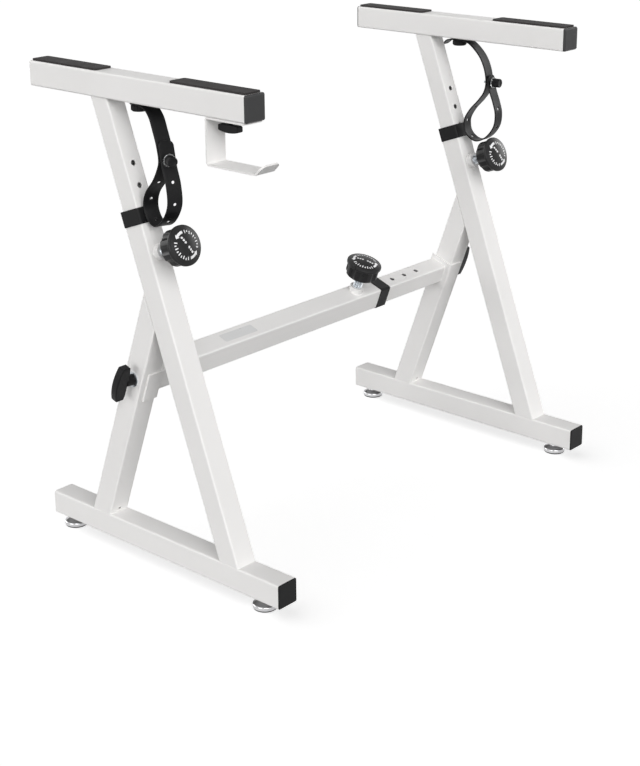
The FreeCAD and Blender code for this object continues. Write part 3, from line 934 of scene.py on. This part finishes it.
@dataclass
class LevellingFoot:
    """Foot under a rail's end: chromed cup with a neck, on a rubber sole.

    Its sizes are in millimetres.
    """

    side: Side
    end: End
    place: Vector
    top: float
    radius: float = 20.0
    sole_height: float = 2.6
    neck_radius: float = 9.0
    lip_round: float = 0.6
    shoulder_round: float = 2.4
    sole_round: float = 1.2

    @property
    def body(self) -> str:
        """Name of the foot's body."""
        return f"{self.side.value}_{self.end.value}_foot"

    def cup(self) -> bpy.types.Object:
        """Chromed cup, whose flared skirt runs up into the neck.

        Returns:
            The cup.
        """
        r, low, neck = self.radius, self.sole_height, self.neck_radius
        profile = [(0, low), (r - 2.2, low), (r - 0.9, low)]
        profile += arc((r - self.lip_round, low + self.lip_round), self.lip_round, -90, 0, 3)
        profile += [(r - 0.1, 4.2), (r, 5.6), (r, 6.4)]
        profile += arc((r - self.shoulder_round, 7.0), self.shoulder_round, 15, 75, 5)
        profile += [(r - 4.6, 10.4), (13.5, 11.3), (11.5, 11.9), (10.2, 12.4), (9.3, 13.2)]
        profile += [(neck, 14.0), (neck, self.top - 0.4), (neck - 0.4, self.top), (0, self.top)]
        shape = Shape(Matrix.Translation(self.place))
        shape.lathe(in_metres(profile), 96)
        return shape.piece(f"{self.body}_cup")

    def sole(self) -> bpy.types.Object:
        """Rubber sole, held by the cup's lip.

        Returns:
            The sole.
        """
        r, low = self.radius, self.sole_height
        profile = [(0, 0), (r - 7, 0), (r - 2.6, 0)]
        profile += arc((r - 2.2, self.sole_round), self.sole_round, -90, 0, 4)
        profile += [(r - 1.1, low - 0.2), (r - 1.4, low), (0, low)]
        shape = Shape(Matrix.Translation(self.place))
        shape.lathe(in_metres(profile), 96)
        return shape.piece(f"{self.body}_sole")

    def build(self, wardrobe: Wardrobe) -> list[bpy.types.Object]:
        """Build and dress the foot.

        Args:
            wardrobe: The finishes.

        Returns:
            Its pieces.
        """
        cup, sole = self.cup(), self.sole()
        wardrobe.wear(cup, Slot.FOOT_CHROME)
        wardrobe.wear(sole, Slot.PAD_RUBBER, wardrobe.sole)
        for piece in (cup, sole):
            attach(piece, self.body)
            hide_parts(f"{self.body}_pad")
        return [cup, sole]


@dataclass
class ClosingStud:
    """Stud that closes a strap: knurled head, clear washer and a threaded pin.

    The head's and the washer's radii are in millimetres.
    """

    side: Side
    frame: Matrix
    tail: float
    head_radius: float = 8.0
    ridges: int = 24
    groove: float = 0.55 * MM
    knurled: tuple[float, float] = (6.4 * MM, 17.7 * MM)
    washer_radius: float = 9.4
    washer_bore: float = 2.1
    pin_radius: float = 2.0 * MM
    pin_top: float = 5.6 * MM
    thread_pitch: float = 0.7 * MM

    @property
    def body(self) -> str:
        """Name of the stud's body."""
        return f"{self.side.value}_strap_stud"

    def head(self) -> bpy.types.Object:
        """Knurled head with a dished top.

        Returns:
            The head.
        """
        r = self.head_radius
        profile = [(0, 5.5), (r - 1.4, 5.5)] + arc((r - 0.8, 6.3), 0.8, -90, 0, 3)
        profile += [(r, height) for height in (7.0, 9.0, 12.0, 15.0, 17.0)]
        profile += arc((r - 1.4, 17.6), 1.4, 0, 90, 4)
        profile += [(5.0, 18.6), (4.4, 18.3), (0, 18.3)]
        shape = Shape(self.frame)
        shape.lathe(in_metres(profile), 144, knurl(self.ridges, self.groove, *self.knurled))
        return shape.piece(f"{self.body}_head", 50.0)

    def washer(self) -> bpy.types.Object:
        """Clear washer with a rounded edge.

        Returns:
            The washer.
        """
        r, bore = self.washer_radius, self.washer_bore
        profile = [(bore, 4.3), (r, 4.2)] + arc((r + 0.1, 4.8), 0.5, -80, 80, 5)
        profile += [(r, 5.4), (bore, 5.3)]
        shape = Shape(self.frame)
        shape.lathe(in_metres(profile), 72, closed=True)
        return shape.piece(f"{self.body}_washer")

    def pin(self) -> bpy.types.Object:
        """Threaded pin through both layers of the strap.

        Returns:
            The pin.
        """
        shape = Shape(self.frame)
        threaded(shape, self.pin_radius, -self.tail, self.pin_top, self.thread_pitch, 24)
        return shape.piece(f"{self.body}_pin", 25.0)

    def build(self, wardrobe: Wardrobe) -> list[bpy.types.Object]:
        """Build and dress the stud.

        Args:
            wardrobe: The finishes.

        Returns:
            Its pieces.
        """
        head, washer, pin = self.head(), self.washer(), self.pin()
        wardrobe.wear(head, Slot.BLACK_PLASTIC)
        wardrobe.wear(washer, Slot.WHITE_PLASTIC, wardrobe.clear)
        wardrobe.wear(pin, Slot.ZINC_STEEL)
        for piece in (head, washer, pin):
            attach(piece, self.body)
            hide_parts(self.body)
        return [head, washer, pin]


class SmoothLine:
    """Smooth line through given points, measured by its length."""

    def __init__(self, points: Sequence[Vector], spans: int = 24) -> None:
        """Sample the line.

        Args:
            points: Points that it goes through.
            spans: Samples between two points.
        """
        padded = [points[0] * 2 - points[1], *points, points[-1] * 2 - points[-2]]
        self.samples: list[Vector] = []
        for before, start, end, after in zip(padded, padded[1:], padded[2:], padded[3:]):
            for step in range(spans):
                self.samples.append(self.between(before, start, end, after, step / spans))
        self.samples.append(points[-1].copy())
        self.lengths = [0.0]
        for first, second in zip(self.samples, self.samples[1:]):
            self.lengths.append(self.lengths[-1] + (second - first).length)

    @staticmethod
    def between(before: Vector, start: Vector, end: Vector, after: Vector, share: float) -> Vector:
        """Point on a centripetal span.

        Args:
            before: Point ahead of the span.
            start: Its start.
            end: Its end.
            after: Point beyond it.
            share: Share of the way, 0 to 1.

        Returns:
            The point.
        """
        knots = [0.0]
        for first, second in ((before, start), (start, end), (end, after)):
            knots.append(knots[-1] + math.sqrt((second - first).length))
        at = knots[1] + (knots[2] - knots[1]) * share
        level = [before, start, end, after]
        for depth in (1, 2):
            level = [(level[i] * (knots[i + depth] - at) + level[i + 1] * (at - knots[i]))
                     / (knots[i + depth] - knots[i]) for i in range(len(level) - 1)]
        low, high = knots[1], knots[2]
        return (level[0] * (high - at) + level[1] * (at - low)) / (high - low)

    @property
    def length(self) -> float:
        """Length of the line."""
        return self.lengths[-1]

    def at(self, distance: float) -> tuple[Vector, Vector]:
        """Point and direction at a distance from the start.

        Args:
            distance: Distance along the line.

        Returns:
            The point and the unit direction there.
        """
        distance = min(max(distance, 0.0), self.length)
        index = next((i for i, length in enumerate(self.lengths) if length > distance),
                     len(self.lengths) - 1)
        start, end = self.samples[index - 1], self.samples[index]
        span = self.lengths[index] - self.lengths[index - 1]
        share = (distance - self.lengths[index - 1]) / span
        ahead = self.samples[min(index + 1, len(self.samples) - 1)]
        behind = self.samples[max(index - 2, 0)]
        return start.lerp(end, share), (ahead - behind).normalized()


@dataclass
class Strap:
    """Rubber strap with round holes, looped below the beam and closed by a stud.

    Its route is in millimetres, as y and as the height from the beam's base.
    """

    side: Side
    centre_x: float
    beam_base: float
    route: Sequence[tuple[float, float]]
    yaw: float
    loop_top: float
    width: float = 25.0 * MM
    thickness: float = 2.5 * MM
    rim: float = 0.25 * MM
    pitch: float = 34.0 * MM
    tail: float = 63.5 * MM
    hole_radius: float = 2.4 * MM
    chamfer: float = 0.4 * MM
    chamfer_depth: float = 0.6 * MM
    holes: int = 6
    patch_half: float = 4.5 * MM
    corner: float = 9.0 * MM
    step: float = 2.5 * MM
    columns: tuple[float, ...] = (-1.0, -0.7, -0.4, -0.2, 0.0, 0.2, 0.4, 0.7, 1.0)
    hole_columns: tuple[int, int] = (2, 6)
    edge_angles: tuple[int, ...] = (68, 45, 22, 0, -22, -45, -68)
    corner_shares: tuple[float, ...] = (0.0, 0.02, 0.1, 0.25, 0.45, 0.7)
    patch_shares: tuple[float, ...] = (-1.0, -0.5, 0.0, 0.5, 1.0)

    def line(self) -> SmoothLine:
        """Centre line of the strap."""
        return SmoothLine([Vector((self.centre_x, y * MM, self.beam_base + z * MM))
                           for y, z in self.route])

    def half_width(self, distance: float, length: float) -> float:
        """Half the strap's width at a distance, drawn in at its rounded ends."""
        gone = max(self.corner - distance, self.corner - (length - distance), 0.0)
        return self.width / 2 - self.corner + math.sqrt(max(self.corner ** 2 - gone ** 2, 0.0))

    def section(self, half: float) -> list[tuple[float, float]]:
        """Rounded cross-section with slightly raised edges.

        Args:
            half: Half the width.

        Returns:
            Points round the strap, as offsets in width and in thickness.
        """
        thick = self.thickness / 2
        side = half - thick
        top = [(side * share, thick - (0 if abs(share) == 1 else self.rim)) for share in self.columns]
        bow = [(side + thick * math.cos(math.radians(a)), thick * math.sin(math.radians(a)))
               for a in self.edge_angles]
        return [*top, *bow, *((x, -y) for x, y in reversed(top)), *((-x, y) for x, y in reversed(bow))]

    def even(self, start: float, end: float) -> list[float]:
        """Distances spread evenly between two cross-sections, both left out."""
        spans = max(1, math.ceil((end - start) / self.step))
        return [start + (end - start) * i / spans for i in range(1, spans)]

    def stations(self, length: float) -> tuple[list[float], list[int]]:
        """Distances of the cross-sections along the strap.

        Args:
            length: Length of the strap.

        Returns:
            The distances, and for each hole the number of the first section of its patch.
        """
        distances = [self.corner * share for share in self.corner_shares]
        patches = []
        for hole in reversed(range(self.holes)):
            centre = length - self.tail - hole * self.pitch
            distances += self.even(distances[-1], centre - self.patch_half)
            patches.append(len(distances))
            distances += [centre + self.patch_half * share for share in self.patch_shares]
        distances += self.even(distances[-1], length - self.corner)
        distances.append(length - self.corner)
        distances += [length - self.corner * share for share in reversed(self.corner_shares)]
        return distances, patches

    def frame_at(self, line: SmoothLine, distance: float) -> Matrix:
        """Frame of a cross-section.

        Args:
            line: The strap's centre line.
            distance: Distance along it.

        Returns:
            The frame, with x across the strap and z out of its face.
        """
        spot, along = line.at(distance)
        across = Vector((math.cos(self.yaw), -math.sin(self.yaw), 0))
        return placed(spot, along.cross(across), across)

    def outline(self, rows: list[list[int]], patch: int, below: bool) -> list[int]:
        """Points round a hole's patch.

        Args:
            rows: Point numbers of each cross-section.
            patch: First cross-section of the patch.
            below: Whether the patch is on the strap's lower face.

        Returns:
            The points' numbers, in order.
        """
        low, high = self.hole_columns
        end = len(self.patch_shares) - 1
        spots = [(0, column) for column in range(low, high)]
        spots += [(row, high) for row in range(end)]
        spots += [(end, column) for column in range(high, low, -1)]
        spots += [(row, low) for row in range(end, 0, -1)]
        last = 2 * len(self.columns) + len(self.edge_angles) - 1
        return [rows[patch + row][last - column if below else column] for row, column in spots]

    def hole(self, shape: Shape, frame: Matrix, outlines: Sequence[list[int]]) -> None:
        """Add one hole with its chamfered rims.

        Args:
            shape: The strap's shape.
            frame: Frame of the cross-section through the hole's middle.
            outlines: Points round its patch on the upper and on the lower face.
        """
        inverse = frame.inverted()
        rims = ((self.hole_radius + self.chamfer, self.thickness / 2 - self.rim),
                (self.hole_radius, self.thickness / 2 - self.chamfer_depth))
        walls = []
        for sign, outer in zip((1, -1), outlines):
            flat = [inverse @ shape.points[number] for number in outer]
            angles = [math.atan2(point.y, point.x) for point in flat]
            for radius, height in rims:
                inner = shape.ring([frame @ Vector((radius * math.cos(angle), radius * math.sin(angle),
                                                    sign * height)) for angle in angles])
                shape.bridge(outer, inner)
                outer = inner
            walls.append(outer)
        shape.bridge(walls[0], walls[1])

    def band(self) -> bpy.types.Object:
        """The strap with its holes.

        Returns:
            The strap.
        """
        line = self.line()
        distances, patches = self.stations(line.length)
        shape = Shape()
        rows = []
        for distance in distances:
            frame = self.frame_at(line, distance)
            half = self.half_width(distance, line.length)
            rows.append(shape.ring([frame @ Vector((x, 0, z)) for x, z in self.section(half)]))
        shape.faces += [tuple(rows[0]), tuple(rows[-1])]
        spans = len(self.patch_shares) - 1
        holed = {row for patch in patches for row in range(patch, patch + spans)}
        below = len(self.columns) + len(self.edge_angles)
        left_open = {start + column for start in (0, below) for column in range(*self.hole_columns)}
        for i, (first, second) in enumerate(zip(rows, rows[1:])):
            for k in range(len(first)):
                if i in holed and k in left_open:
                    continue
                after = (k + 1) % len(first)
                shape.faces.append((first[k], first[after], second[after], second[k]))
        for patch in patches:
            middle = self.frame_at(line, distances[patch + spans // 2])
            self.hole(shape, middle, [self.outline(rows, patch, below) for below in (False, True)])
        return shape.piece(f"{self.side.value}_rubber_strap", 50.0)

    def build(self, wardrobe: Wardrobe) -> list[bpy.types.Object]:
        """Build and dress the strap.

        Args:
            wardrobe: The finishes.

        Returns:
            The strap.
        """
        band = self.band()
        wardrobe.wear(band, Slot.STRAP_RUBBER)
        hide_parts(f"{self.side.value}_strap")
        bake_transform(band)
        return [band]


@dataclass
class BlankLabel:
    """Plain film on the crossbar's top, without any words."""

    centre: Vector
    up: Vector
    length: float = 76.0 * MM
    width: float = 20.0 * MM
    corner: float = 3.0 * MM
    lift: float = 0.15 * MM

    def build(self, wardrobe: Wardrobe) -> list[bpy.types.Object]:
        """Build and dress the label.

        Args:
            wardrobe: The finishes.

        Returns:
            The label.
        """
        shape = Shape(placed(self.centre, self.up))
        outline = []
        steps = 6
        for quarter in range(4):
            sign_x = 1 if quarter in (0, 3) else -1
            sign_y = 1 if quarter in (0, 1) else -1
            middle = Vector((sign_x * (self.length / 2 - self.corner),
                             sign_y * (self.width / 2 - self.corner), 0))
            for step in range(steps + 1):
                angle = math.pi / 2 * (quarter + step / steps)
                outline.append(middle + Vector((math.cos(angle), math.sin(angle), 0)) * self.corner)
        rows = [[point - Z_AXIS * self.lift for point in outline],
                [point + Z_AXIS * self.lift for point in outline]]
        shape.loft(rows)
        piece = shape.piece("crossbar_blank_label")
        wardrobe.wear(piece, Slot.WHITE_PLASTIC, wardrobe.label)
        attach(piece, "left_frame")
        return [piece]


# ---- studio -------------------------------------------------------------------------------
@dataclass(frozen=True)
class SoftLight:
    """Wide, distant studio light; azimuth, elevation and spread are in degrees."""

    name: str
    azimuth: float
    elevation: float
    spread: float
    strength: float

    def build(self, floor: bpy.types.Object, for_floor: bool) -> None:
        """Add the light, for the floor alone or for everything else.

        Args:
            floor: The studio's floor.
            for_floor: Whether it lights the floor alone.
        """
        turn, rise = math.radians(self.azimuth), math.radians(self.elevation)
        ahead = Vector((-math.sin(turn) * math.cos(rise), math.cos(turn) * math.cos(rise),
                        -math.sin(rise)))
        data = bpy.data.lights.new(self.name, "SUN")
        data.angle = math.radians(self.spread)
        data.energy = self.strength
        lamp = bpy.data.objects.new(self.name, data)
        lamp.rotation_euler = ahead.to_track_quat("-Z", "Y").to_euler()
        bpy.context.scene.collection.objects.link(lamp)
        receivers = bpy.data.collections.new(f"{self.name}_receivers")
        receivers.objects.link(floor)
        state = "INCLUDE" if for_floor else "EXCLUDE"
        receivers.collection_objects[0].light_linking.link_state = state
        lamp.light_linking.receiver_collection = receivers


@dataclass
class Studio:
    """Floor, soft light, white surroundings and the camera."""

    camera_place: Vector = field(default_factory=lambda: Vector((-1.9839, -1.7534, 1.2177)))
    camera_turn: float = math.radians(-48.179)
    camera_pitch: float = math.radians(17.691)
    camera_roll: float = math.radians(-0.507)
    focal_pixels: float = 1598.88
    picture: tuple[int, int] = (640, 766)
    principal: tuple[float, float] = (320.0, 290.0)
    sensor_width: float = 36.0
    ambient: float = 0.13
    floor_size: float = 60.0
    floor_greys: tuple[float, float] = (0.39, 0.41)
    floor_paint: float = 0.6
    floor_glow: float = 0.74
    stand_lights: tuple[SoftLight, ...] = (
        SoftLight("key_light", -28.0, 31.0, 50.0, 2.15), SoftLight("left_light", -90.0, 9.0, 35.0, 1.35),
        SoftLight("front_light", 0.0, 3.0, 60.0, 0.6), SoftLight("right_light", 80.0, 5.0, 50.0, 1.5),
        SoftLight("back_light", -165.0, 5.0, 50.0, 1.5))
    floor_light: SoftLight = SoftLight("floor_light", -138.0, 55.0, 70.0, 1.3)

    def lights(self, floor: bpy.types.Object) -> None:
        """Add the lights of the stand and the one of the floor.

        Args:
            floor: The studio's floor.
        """
        for light in self.stand_lights:
            light.build(floor, False)
        self.floor_light.build(floor, True)

    def camera(self) -> None:
        """Set the camera where the fitted view says."""
        turn, pitch = self.camera_turn, self.camera_pitch
        ahead = Vector((-math.sin(turn) * math.cos(pitch), math.cos(turn) * math.cos(pitch),
                        -math.sin(pitch)))
        level = ahead.cross(Z_AXIS).normalized()
        above = level.cross(ahead)
        right = level * math.cos(self.camera_roll) + above * math.sin(self.camera_roll)
        top = right.cross(ahead)
        data = bpy.data.cameras.new("camera")
        data.sensor_width = self.sensor_width
        long_side = max(self.picture)
        data.lens = self.focal_pixels / long_side * self.sensor_width
        data.shift_x = (self.picture[0] / 2 - self.principal[0]) / long_side
        data.shift_y = -(self.picture[1] / 2 - self.principal[1]) / long_side
        data.clip_start, data.clip_end = 0.05, 60.0
        camera = bpy.data.objects.new("camera", data)
        turned = Matrix((right, top, -ahead)).transposed().to_4x4()
        camera.matrix_world = Matrix.Translation(self.camera_place) @ turned
        bpy.context.scene.collection.objects.link(camera)
        bpy.context.scene.camera = camera

    def floor(self) -> bpy.types.Object:
        """Pale floor that keeps the stand's shadow and looks white to the camera.

        Returns:
            The floor.
        """
        half = self.floor_size / 2
        shape = Shape()
        corners = [Vector((x * half, y * half, 0)) for x, y in ((-1, -1), (1, -1), (1, 1), (-1, 1))]
        shape.faces.append(tuple(shape.ring(corners)))
        floor = shape.piece("studio_floor")
        graph = Graph("studio_floor")
        dark, light = self.floor_greys
        graph.shader.inputs["Roughness"].default_value = 0.9
        graph.shader.inputs["Specular IOR Level"].default_value = 0.0
        graph.tint(graph.noise(1.2), (dark, dark, dark), (light, light, light))
        plain = graph.add("ShaderNodeBsdfDiffuse")
        plain.inputs["Color"].default_value = (self.floor_paint, self.floor_paint, self.floor_paint, 1)
        glow = graph.add("ShaderNodeEmission")
        glow.inputs["Strength"].default_value = self.floor_glow
        both = graph.add("ShaderNodeAddShader")
        graph.join(plain.outputs["BSDF"], both.inputs[0])
        graph.join(glow.outputs["Emission"], both.inputs[1])
        rays = graph.add("ShaderNodeLightPath").outputs
        mirrored = graph.either(rays["Is Glossy Ray"], rays["Is Transmission Ray"])
        mix = graph.add("ShaderNodeMixShader")
        graph.join(graph.either(rays["Is Camera Ray"], mirrored), mix.inputs["Fac"])
        graph.join(graph.shader.outputs["BSDF"], mix.inputs[1])
        graph.join(both.outputs["Shader"], mix.inputs[2])
        graph.join(mix.outputs["Shader"], graph.tree.nodes["Material Output"].inputs["Surface"])
        floor.data.materials.append(graph.material)
        return floor

    def surroundings(self) -> None:
        """White surroundings for the camera, mirrors and glass; faint light for the rest."""
        world = bpy.data.worlds.new("studio")
        bpy.context.scene.world = world
        world.use_nodes = True
        nodes, links = world.node_tree.nodes, world.node_tree.links
        soft, white = nodes["Background"], nodes.new("ShaderNodeBackground")
        for background, strength in ((soft, self.ambient), (white, 1.0)):
            background.inputs["Color"].default_value = (1, 1, 1, 1)
            background.inputs["Strength"].default_value = strength
        rays = nodes.new("ShaderNodeLightPath").outputs
        seen = rays["Is Camera Ray"]
        for kind in ("Is Glossy Ray", "Is Transmission Ray"):
            larger = nodes.new("ShaderNodeMath")
            larger.operation = "MAXIMUM"
            links.new(seen, larger.inputs[0])
            links.new(rays[kind], larger.inputs[1])
            seen = larger.outputs["Value"]
        mix = nodes.new("ShaderNodeMixShader")
        links.new(seen, mix.inputs["Fac"])
        links.new(soft.outputs["Background"], mix.inputs[1])
        links.new(white.outputs["Background"], mix.inputs[2])
        links.new(mix.outputs["Shader"], nodes["World Output"].inputs["Surface"])

    def build(self) -> None:
        """Set up the whole studio."""
        self.camera()
        self.surroundings()
        self.lights(self.floor())
        bpy.context.scene.view_settings.view_transform = "Standard"


# ---- the stand ----------------------------------------------------------------------------
@dataclass
class KeyboardStand:
    """The whole stand, dressed sub-assembly by sub-assembly.

    A pair of values is for the left and the right side.
    """

    frame: PackedFrame
    wardrobe: Wardrobe
    lean: float = math.radians(20.0)
    label_x: float = -178.0 * MM
    beam_height: float = 40.0 * MM
    stud_tails: tuple[float, float] = (30.0 * MM, 15.0 * MM)
    stud_clearance: float = 12.0 * MM
    strap_yaws: tuple[float, float] = (math.radians(20.0), math.radians(-5.0))
    left_route: tuple[tuple[float, float], ...] = (
        (36.0, -3.1), (25.4, -3.1), (13.0, -3.3), (0.0, -6.8), (-10.5, -18.5), (-18.0, -38.0),
        (-25.2, -61.0), (-28.3, -84.2), (-23.2, -98.7), (-13.5, -115.5), (4.0, -137.1), (9.2, -155.0),
        (6.6, -168.5), (-0.5, -179.5), (-11.5, -185.8), (-24.0, -181.0), (-37.1, -165.8),
        (-44.5, -147.5), (-42.5, -117.0), (-35.6, -92.0), (-31.9, -72.0), (-28.6, -52.0))
    right_route: tuple[tuple[float, float], ...] = (
        (57.7, -14.0), (49.0, -6.2), (38.5, -3.3), (25.4, -3.1), (12.0, -3.2), (-1.5, -6.3),
        (-16.0, -16.5), (-30.0, -31.5), (-40.2, -53.0), (-43.6, -75.6), (-39.6, -92.7),
        (-27.6, -109.1), (-7.6, -130.3), (3.5, -148.8), (4.3, -160.3), (1.7, -171.3),
        (-6.6, -180.7), (-20.6, -186.4), (-34.3, -183.5), (-50.0, -172.8), (-63.6, -153.1),
        (-66.0, -130.4), (-60.5, -110.6), (-53.0, -92.0), (-48.8, -77.0), (-47.2, -62.0))

    def locks(self) -> list[bpy.types.Object]:
        """Build the three pull locks.

        Returns:
            Their pieces.
        """
        made = []
        for name in ("left_lock", "right_lock", "crossbar_lock"):
            made += PullLock(name, self.frame.joint_frame(f"{name}_turn")).build(self.wardrobe)
        return made

    def feet(self) -> list[bpy.types.Object]:
        """Build the four levelling feet.

        Returns:
            Their pieces.
        """
        made = []
        for side in Side:
            for end in End:
                low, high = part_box(f"{side.value}_{end.value}_foot_pad")
                centre = Vector(((low.x + high.x) / 2, (low.y + high.y) / 2, low.z))
                made += LevellingFoot(side, end, centre, (high.z - low.z) / MM).build(self.wardrobe)
        return made

    def straps(self) -> list[bpy.types.Object]:
        """Build both straps with their studs.

        Returns:
            Their pieces.
        """
        made = []
        routes = (self.left_route, self.right_route)
        for index, side in enumerate(Side):
            stud = self.frame.joint_frame(f"{side.value}_strap_stud_turn")
            made += ClosingStud(side, stud, self.stud_tails[index]).build(self.wardrobe)
            low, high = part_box(f"{side.value}_beam")
            strap = Strap(side, (low.x + high.x) / 2, high.z - self.beam_height, routes[index],
                          self.strap_yaws[index], stud.translation.z - self.stud_clearance)
            made += strap.build(self.wardrobe)
        return made

    def label(self) -> list[bpy.types.Object]:
        """Build the blank label on the crossbar's top.

        Returns:
            The label.
        """
        up = Vector((0, -math.sin(self.lean), math.cos(self.lean)))
        lock = self.frame.joint_frame("crossbar_lock_turn").translation
        return BlankLabel(Vector((self.label_x, lock.y, lock.z)), up).build(self.wardrobe)

    def build(self) -> None:
        """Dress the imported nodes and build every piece."""
        self.frame.dress(self.wardrobe)
        for pieces in (self.locks(), self.feet(), self.straps(), self.label()):
            for piece in pieces:
                LOG.info("built %s with %d faces", piece.name, len(piece.data.polygons))


def main() -> None:
    """Load the frame, and build the stand and its studio."""
    logging.basicConfig(level=logging.INFO, format="%(message)s")
    frame = PackedFrame.load()
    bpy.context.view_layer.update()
    Studio().build()
    KeyboardStand(frame, Wardrobe()).build()


if __name__ == "__main__":
    main()
